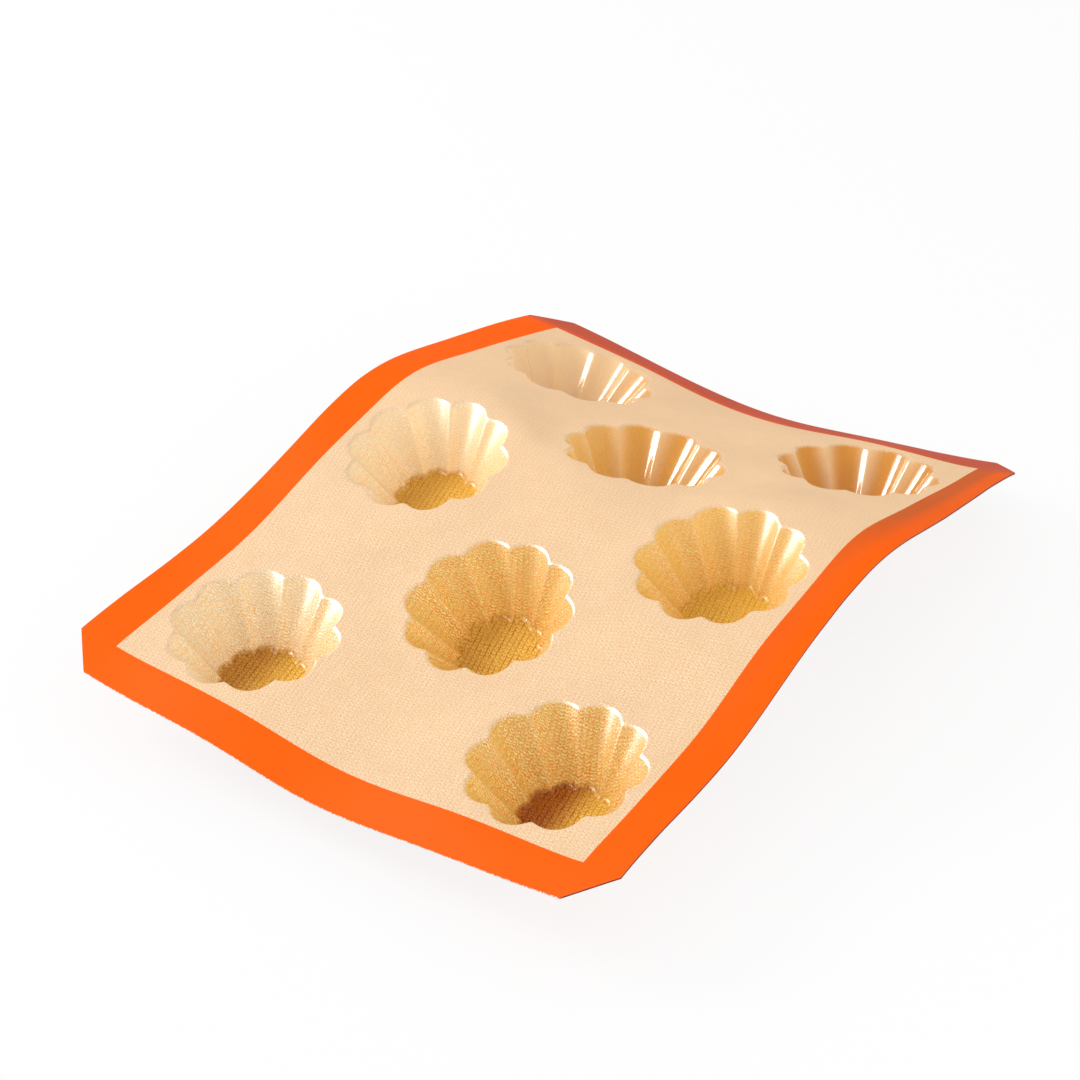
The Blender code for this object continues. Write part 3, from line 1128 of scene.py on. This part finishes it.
class Cloth:
    """The nodes of one silicone material: its zones, its threads and their colours."""

    def __init__(self, finish: SiliconeFinish, surface: Surface, tree: NodeTree) -> None:
        """Lay the zones and the threads.

        Args:
            finish: The finish that the material shows.
            surface: The shared node groups.
            tree: The material's node tree.
        """
        self.finish, self.surface, self.tree = finish, surface, tree
        zones = finish.zones
        uv = add_node(tree, "ShaderNodeUVMap", uv_map=PLACE_MAP)
        self.place = scaled(tree, uv.outputs[0], MILLIMETRES)
        self.along, self.across = split(tree, self.place)
        down = carried(tree, DEPTH_NAME)
        fringed = down + (noise(tree, self.place, finish.fringe_scale) - 0.5) * finish.fringe
        self.on_floor = fringed.rise(*zones.floor)
        self.on_wall = down.rise(*zones.fine_knit) * (1 - self.on_floor)
        self.in_cup = fringed.rise(*zones.wall_colour)
        self.lip = down.rise(*zones.lip)
        self.far = self.along.rise(*zones.far_along)
        knit, fine = self.group(surface.knit), self.group(surface.knit)
        self.on_floor.between(*finish.groove).put(knit.inputs["Groove"])
        for name, value in (("Course", finish.wall_course), ("Lean", finish.wall_lean),
                            ("Stitch", finish.wall_stitch), ("Groove", finish.wall_groove),
                            ("Jitter", finish.wall_jitter)):
            fine.inputs[name].default_value = value
        crisp = (1 - self.along.rise(*zones.soft_knit_along)
                 * self.on_wall.between(*finish.lost_far_knit))
        mixed = []
        for name in ("Thread", "Height"):
            coarse, small = (Number(tree, node.outputs[name]) - 0.5 for node in (knit, fine))
            coarse = coarse * self.on_floor.between(*finish.coarse_knit)
            mixed.append((coarse + (small - coarse) * self.on_wall) * crisp + 0.5)
        grain = noise(tree, self.place, finish.grain_scale, detail=1.0) - 0.5
        self.threads = mixed[0] + grain * crisp * finish.grain
        self.knit_height = mixed[1]

    def group(self, group: NodeTree) -> Node:
        """A shared group in the material, fed with the place."""
        return add_node(self.tree, "ShaderNodeGroup", {"Place": self.place}, node_tree=group)

    def mix(self, share: Number, first: Tint | NodeSocket,
            second: Tint | NodeSocket) -> NodeSocket:
        """A mix of two tints or colours.

        Args:
            share: Share of the second one.
            first: A tint or the socket of a colour.
            second: A tint or the socket of a colour.

        Returns:
            The mixed colour.
        """
        first, second = (look.on(self.tree, self.threads) if isinstance(look, Tint) else look
                         for look in (first, second))
        return blend(self.tree, share, first, second)

    def colour(self) -> NodeSocket:
        """Colour of the web, the cups and the border together.

        Returns:
            The socket of the colour.
        """
        finish = self.finish
        # Painted light: the left-hand cups' walls are painted paler, less so at the far end.
        painted_light = (self.across.rise(*finish.zones.painted_light_across)
                * (1 - self.far * finish.painted_light_lost_far))
        # Painted highlight along the flute ridges, stronger in the far cups.
        ridge = carried(self.tree, RIDGE_NAME) * self.far.between(*finish.ridge_painted_highlight)
        # Painted shade: the far cups' walls are mixed towards a darker tint.
        wall = self.mix(self.far, finish.wall, finish.painted_shade_far_wall)
        wall = self.mix(painted_light.greater(ridge), wall, finish.painted_light_wall)
        colour = self.mix(self.in_cup, finish.web, wall)
        colour = self.mix(self.on_floor, colour, finish.floor)
        # Painted shadow: one side of each cup's floor is mixed towards the darker floor tint.
        shade = self.on_floor * carried(self.tree, PAINTED_SHADE_NAME)
        colour = self.mix(shade, colour, finish.painted_shadow_floor)
        mask = Number(self.tree, self.group(self.surface.print_edge).outputs["Mask"])
        return self.mix(mask, colour, self.border_colour())

    def border_colour(self) -> NodeSocket:
        """Colour of the border, with painted shade and a painted pinkish reflection along its
        right side and at its far end.

        Returns:
            The socket of the colour.
        """
        finish, zones = self.finish, self.finish.zones
        inner = self.across.rise(*zones.inner_border_across)
        # Painted shade on the inner part of the right border, growing towards the far end.
        border_painted_shade = ((1 - self.across.rise(*zones.right_border_across))
                 * (self.along.rise(*zones.faded_along) * inner.between(*finish.border_shade_inside)
                    + self.along.rise(*zones.border_half_shade_along) * inner * finish.border_half_shade))
        border = self.mix(border_painted_shade.held(), finish.border, finish.painted_shade_border)
        # The far strip gets painted shade and a painted pinkish reflection.
        return self.mix(self.along.rise(*zones.far_strip_along), border, finish.painted_shade_sheen_strip)

    def height(self) -> Number:
        """Height of the threads and of the wall's slow sags.

        Returns:
            The height as a share of the relief.
        """
        finish = self.finish
        sag = noise(self.tree, self.place, finish.sag_scale) * self.on_wall * finish.sag
        return self.knit_height * self.lip.between(*finish.lip_relief) + sag


@dataclass(frozen=True)
class CutEdgeFinish:
    """The sheet's cut edge, where cut glass threads show between two skins of silicone."""

    name: str = "cut_edge"
    fresh: Tint = Tint("f08040", "fff4ec")
    # Painted shade: the cut face along the right edge is painted dark, as a face turned from the
    # light.
    stained: Tint = Tint("6c1004", "a02c14")
    painted_shade_across: Span = (17.0, 19.0)
    fibre_scale: float = 900.0
    fibre_span: Span = (0.48, 0.60)
    roughness: Span = (0.5, 0.8)
    relief: float = 0.0001

    def material(self) -> Material:
        """The material of the cut edge.

        Returns:
            A material that is painted dark along the sheet's right edge, as painted shade.
        """
        material, tree, shader = new_material(self.name)
        point = add_node(tree, "ShaderNodeTexCoord").outputs["Object"]
        fibres = noise(tree, point, self.fibre_scale, detail=3.0).rise(*self.fibre_span)
        uv = add_node(tree, "ShaderNodeUVMap", uv_map=PLACE_MAP)
        # Painted shade on the cut edge near the sheet's right side.
        clear_of_painted_shade = (split(tree, uv.outputs[0])[1] * MILLIMETRES).rise(*self.painted_shade_across)
        stained, fresh = (tint.on(tree, fibres) for tint in (self.stained, self.fresh))
        put(tree, blend(tree, clear_of_painted_shade, stained, fresh), shader.inputs["Base Color"])
        fibres.between(*self.roughness).put(shader.inputs["Roughness"])
        bump = add_node(tree, "ShaderNodeBump", {"Distance": self.relief, "Height": fibres})
        put(tree, bump.outputs[0], shader.inputs["Normal"])
        return material


# Sub-assemblies


@dataclass
class Dressing:
    """What every piece is dressed with."""

    sheet: BentSheet
    surface: Surface
    cut_edge: Material


@dataclass
class Piece:
    """A visible piece: its name, the node it stands for, its slot and its finish."""

    name: str
    node: str
    slot: Slot
    finish: SiliconeFinish
    sharp_angle: float = 45.0

    def thicken(self, skin: Mesh, dressing: Dressing) -> Object:
        """Give a skin its thickness and the materials that it lacks.

        Args:
            skin: The piece's top face.
            dressing: What it is dressed with.

        Returns:
            The finished object, not yet moved to its place on the table.
        """
        if not skin.materials:
            skin.materials.append(self.finish.material(dressing.surface))
        skin.materials.append(dressing.cut_edge)
        piece = add_object(self.name, skin)
        wall = piece.modifiers.new("thickness", 'SOLIDIFY')
        wall.thickness = dressing.sheet.thickness
        wall.offset = -1.0
        wall.use_even_offset = True
        wall.use_quality_normals = True
        wall.material_offset_rim = 1
        plain_mesh(piece)
        piece.data.shade_smooth()
        piece.data.set_sharp_from_angle(angle=radians(self.sharp_angle))
        return piece

    def join_frame(self, piece: Object) -> None:
        """Put the finished piece in the place of its CAD node.

        Args:
            piece: The finished piece.
        """
        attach(piece, BODY)
        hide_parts(self.node)
        log.info("%s: %d faces, stands for %s", piece.name, len(piece.data.polygons), self.node)


@dataclass
class FlutedCups:
    """The eight cups.

    Floor painted shade is how strongly a painted shadow darkens one side of each cup's floor.
    Above the fade depth a wall turns from the cup's flat collar into the bent web.
    """

    sheet: BentSheet
    steps_per_flute: int = 32
    fade_depth: float = 0.004
    shade: dict[str, float] = field(default_factory=lambda: {
        "cup_front_right": 1.0, "cup_front_left": 0.65, "cup_front_center": 0.3,
        "cup_middle_right": 0.1, "cup_middle_left": 0.3, "cup_far_right": 0.5,
        "cup_far_left": 0.5, "cup_far_center": 0.3})

    def build(self, dressing: Dressing) -> list[tuple[Piece, Object]]:
        """Build every cup.

        Args:
            dressing: What the cups are dressed with.

        Returns:
            Each piece's description and its object.
        """
        tree = CupTree(self.sheet.cup, self.steps_per_flute).build()
        near = SiliconeFinish("cup_silicone_cloth", coat=1.0, relief=0.00020)
        far = replace(near, name="cup_silicone_gloss", coat_roughness=0.15, coat_ior=1.5)
        made = []
        for node in self.sheet.cups:
            piece = Piece(f"{node}_shell", node, Slot.CUP, far if "far" in node else near)
            skin = self.skin(tree, node, piece.finish.material(dressing.surface))
            made.append((piece, piece.thicken(skin, dressing)))
        return made

    def skin(self, tree: NodeTree, node: str, material: Material) -> Mesh:
        """Top face of one cup.

        Args:
            tree: The cup's geometry nodes.
            node: CAD node that the cup stands for.
            material: Material of the face.

        Returns:
            The cup's mesh in the sheet's frame.
        """
        centre = self.sheet.cups[node]
        holder = add_object("cup_form", bpy.data.meshes.new("cup_form"))
        modifier = holder.modifiers.new("cup", 'NODES')
        modifier.node_group = tree
        sockets = {item.name: item.identifier for item in tree.interface.items_tree
                   if item.in_out == 'INPUT'}
        modifier[sockets["Centre"]] = (*centre, 0.0)
        modifier[sockets["Material"]] = material
        plain_mesh(holder)
        mesh = holder.data
        mesh.materials.pop(index=0)  # the grid's own slot, which is empty
        bpy.data.objects.remove(holder)
        points = corners_of(mesh)
        turn = np.array(self.sheet.collars[node])
        places = points[:, :2] + centre
        rim = np.clip(1 + points[:, 2] / self.fade_depth, 0, 1)[:, None]
        lift = self.sheet.plate.at(places) - self.sheet.on_collar(node, places)
        carry(mesh, points @ turn[:3, :3].T + turn[:3, 3] + rim * lift)
        # Painted shade: a share for the painted shadow on one side of each floor, scaled per cup.
        side = np.clip(points[:, 1] / self.sheet.cup.floor_lobe + 0.5, 0, 1)
        # The ridge values mark the flute ridges, where the material paints a highlight.
        round_cup = self.sheet.cup.flutes * np.arctan2(points[:, 1], points[:, 0])
        for name, values in ((PAINTED_SHADE_NAME, side * side * (3 - 2 * side) * self.shade[node]),
                             (RIDGE_NAME, ((1 - np.cos(round_cup)) / 2) ** 2)):
            attribute = mesh.attributes.new(name, 'FLOAT', 'POINT')
            attribute.data.foreach_set("value", values.astype(np.float32))
        return mesh


@dataclass
class CoatedWeb:
    """The web between the cups and the border."""

    sheet: BentSheet
    hole_steps: int
    spacing: float = 0.0020
    clearance: float = 0.0012

    def build(self, dressing: Dressing) -> list[tuple[Piece, Object]]:
        """Build the web.

        Args:
            dressing: What the web is dressed with.

        Returns:
            The piece's description and its object.
        """
        sheet = self.sheet
        outer = stepped(rectangle(sheet.length, sheet.width, sheet.border), self.spacing)
        holes = [sheet.cup_outline(name, self.hole_steps).tolist() for name in sheet.cups]
        skin = flat_skin("web", outer, holes, self.inner_places().tolist())
        carry(skin, sheet.plate.at(corners_of(skin)[:, :2]))
        piece = Piece("knitted_web", "coated_web", Slot.WEB, SiliconeFinish("web_silicone_cloth"))
        return [(piece, piece.thicken(skin, dressing))]

    def inner_places(self) -> np.ndarray:
        """Points inside the web.

        Returns:
            A grid of places clear of the border and of the cups.
        """
        sheet = self.sheet
        low = sheet.border + self.clearance
        along, across = (np.linspace(low, side - low, round((side - 2 * low) / self.spacing))
                         for side in (sheet.length, sheet.width))
        grid = np.stack(np.meshgrid(along, across, indexing="ij"), -1).reshape(-1, 2)
        for centre in sheet.cups.values():
            offset = grid - centre
            edge = sheet.cup.flange_radius(np.arctan2(offset[:, 1], offset[:, 0]))
            grid = grid[np.hypot(offset[:, 0], offset[:, 1]) > edge + self.clearance]
        return grid


@dataclass
class BorderBand:
    """The coloured border with its four cut corners."""

    sheet: BentSheet
    spacing: float = 0.0020

    def build(self, dressing: Dressing) -> list[tuple[Piece, Object]]:
        """Build the border.

        Args:
            dressing: What the border is dressed with.

        Returns:
            The piece's description and its object.
        """
        sheet = self.sheet
        length, width, cut = sheet.length, sheet.width, sheet.corner_cut
        corners = [(cut, 0.0), (length - cut, 0.0), (length, cut), (length, width - cut),
                   (length - cut, width), (cut, width), (0.0, width - cut), (0.0, cut)]
        inner = []
        rows = round(sheet.border / self.spacing)
        for row in range(1, rows):
            loop = stepped(rectangle(length, width, sheet.border * row / rows), self.spacing)
            inner += [(s, t) for s, t in loop
                      if min(s, length - s) + min(t, width - t) > cut + self.spacing / 2]
        skin = flat_skin("border", stepped(corners, self.spacing),
                         [stepped(rectangle(length, width, sheet.border), self.spacing)], inner)
        carry(skin, sheet.plate.at(corners_of(skin)[:, :2]))
        piece = Piece("border_silicone_band", "border_band", Slot.BORDER,
                      SiliconeFinish("border_silicone_coat", relief=0.00003, roughness=0.60))
        return [(piece, piece.thicken(skin, dressing))]


# Studio


@dataclass(frozen=True)
class SoftLamp:
    """A soft rectangular lamp that points at the mould. Its power is in watts."""

    name: str
    place: tuple[float, float, float]
    size: tuple[float, float]
    power: float
    lights: bool = True
    shines: bool = True

    def build(self) -> None:
        """Hang the lamp."""
        data = bpy.data.lights.new(self.name, 'AREA')
        data.shape = 'RECTANGLE'
        data.size, data.size_y = self.size
        data.energy = self.power
        lamp = add_object(self.name, data)
        lamp.location = self.place
        lamp.rotation_euler = (-Vector(self.place)).to_track_quat('-Z', 'Y').to_euler()
        lamp.visible_diffuse = self.lights
        lamp.visible_glossy = self.shines


@dataclass
class Studio:
    """Camera, lamps, floor and surroundings.

    Floor white is the share of plain white in what the camera and reflections see of the floor.
    """

    camera_place: tuple[float, float, float] = (-0.76031, -0.535638, 0.707095)
    camera_turn: tuple[float, float, float] = (54.3825, 1.2175, -54.9121)
    camera_lens: float = 79.632
    lamps: tuple[SoftLamp, ...] = (
        SoftLamp("key", place=(-0.402, 1.315, 0.999), size=(0.7, 0.7), power=11.5),
        SoftLamp("gloss", place=(-0.38, 0.72, 0.36), size=(0.85, 0.60), power=44.0,
                 lights=False),
        SoftLamp("fill", place=(-0.12, -0.92, 0.34), size=(1.0, 0.5), power=2.2,
                 shines=False))
    floor_size: float = 12.0
    floor_tiles: int = 8
    floor_grey: float = 0.86
    floor_roughness: float = 0.9
    floor_white: float = 0.85
    soft_light: float = 0.84
    soft_light_lost_in_gloss: float = 0.44

    def build(self) -> None:
        """Set up the whole studio."""
        self.camera()
        for lamp in self.lamps:
            lamp.build()
        self.floor()
        self.world()
        bpy.context.scene.view_settings.view_transform = 'Standard'

    def camera(self) -> None:
        """The camera, where the photograph was taken from."""
        data = bpy.data.cameras.new("photo_camera")
        data.lens = self.camera_lens
        camera = add_object("photo_camera", data)
        camera.location = self.camera_place
        camera.rotation_euler = Euler([radians(a) for a in self.camera_turn])
        bpy.context.scene.camera = camera

    @staticmethod
    def mixed(tree: NodeTree, share: Number | NodeSocket,
              first: Node, second: Node, output: str) -> None:
        """Send a mix of two shaders to the output.

        Args:
            tree: The tree of all of them.
            share: Share of the second shader.
            first: A shader.
            second: A shader.
            output: Name of the output node.
        """
        mix = add_node(tree, "ShaderNodeMixShader",
                       {0: share, 1: first.outputs[0], 2: second.outputs[0]})
        put(tree, mix.outputs[0], tree.nodes[output].inputs["Surface"])

    def floor(self) -> None:
        """A pale floor that keeps a faint shadow of the mould and looks white around it."""
        form = bmesh.new()
        bmesh.ops.create_grid(form, x_segments=self.floor_tiles, y_segments=self.floor_tiles,
                              size=self.floor_size / 2)
        data = plain_data("studio_floor", form)
        material, tree, shader = new_material("studio_floor")
        shader.inputs["Base Color"].default_value = (*[self.floor_grey] * 3, 1.0)
        shader.inputs["Roughness"].default_value = self.floor_roughness
        shader.inputs["Specular IOR Level"].default_value = 0.0
        path = add_node(tree, "ShaderNodeLightPath")
        camera, glossy, transmission = (Number(tree, path.outputs[f"Is {kind} Ray"])
                                        for kind in ("Camera", "Glossy", "Transmission"))
        self.mixed(tree, (camera + glossy + transmission).held() * self.floor_white, shader,
                   add_node(tree, "ShaderNodeEmission"), "Material Output")
        data.materials.append(material)
        add_object("studio_floor", data)

    def world(self) -> None:
        """White surroundings for the camera, and a plain level of soft light from all round."""
        world = bpy.data.worlds.new("studio")
        bpy.context.scene.world = world
        world.use_nodes = True
        tree = world.node_tree
        white_light = (1.0, 1.0, 1.0, 1.0)
        path = add_node(tree, "ShaderNodeLightPath")
        glossy = Number(tree, path.outputs["Is Glossy Ray"])
        soft = tree.nodes["Background"]
        soft.inputs["Color"].default_value = white_light
        (self.soft_light - glossy * self.soft_light_lost_in_gloss).put(soft.inputs["Strength"])
        self.mixed(tree, path.outputs["Is Camera Ray"], soft,
                   add_node(tree, "ShaderNodeBackground", {"Color": white_light}),
                   "World Output")


def stand_in_frame(pieces: list[Object]) -> None:
    """Move the pieces, all together, so that their box stands where the CAD model's does.

    Args:
        pieces: The finished pieces.
    """
    points = np.vstack([corners_of(piece.data) for piece in pieces])
    low, high = points.min(0), points.max(0)
    cad_low, cad_high = (np.array(corner) for corner in CAD_BOX)
    shift = (cad_low + cad_high - low - high) / 2
    shift[2] = cad_low[2] - low[2]
    for piece in pieces:
        carry(piece.data, corners_of(piece.data) + shift)


def main() -> None:
    logging.basicConfig(level=logging.INFO, format="%(name)s: %(message)s")
    sheet = BentSheet(CupShape())
    dressing = Dressing(sheet, Surface(sheet), CutEdgeFinish().material())
    cups = FlutedCups(sheet)
    web = CoatedWeb(sheet, sheet.cup.flutes * cups.steps_per_flute)
    made = []
    for part in (web, cups, BorderBand(sheet)):
        made += part.build(dressing)
    stand_in_frame([piece for _, piece in made])
    for description, piece in made:
        description.join_frame(piece)
    Studio().build()


if __name__ == "__main__":
    main()
